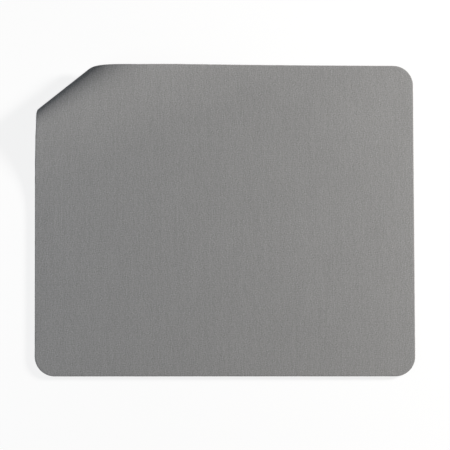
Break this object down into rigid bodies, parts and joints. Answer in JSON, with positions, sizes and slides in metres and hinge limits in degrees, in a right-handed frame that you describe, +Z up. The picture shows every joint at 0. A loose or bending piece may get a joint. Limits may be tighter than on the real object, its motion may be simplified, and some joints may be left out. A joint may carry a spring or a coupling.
{
  "type": "mouse pad",
  "caption": "Thin cloth-faced foam rubber desk pad with rounded corners, lying flat with one far corner rolled over and tucked under itself.",
  "frame": {"origin": "on the desk, under the middle of the pad's flat outline", "axes": "+X to the user's right along the long side, +Y away from the user, +Z up out of the cloth face; the rolled corner is at -X +Y"},
  "size_m": [0.2201, 0.1812, 0.0111],
  "materials": {
    "cloth": "fine plain-weave grey polyester, matt with a faint sheen",
    "film": "thin hot-melt laminating film, seen only as a hairline in the cut edge",
    "foam": "black closed-cell foam rubber with a moulded non-slip underside"
  },
  "bodies": {
    "root": {"cloth_top": "cloth", "adhesive_film": "film", "foam_base": "foam"}
  },
  "joints": []
}
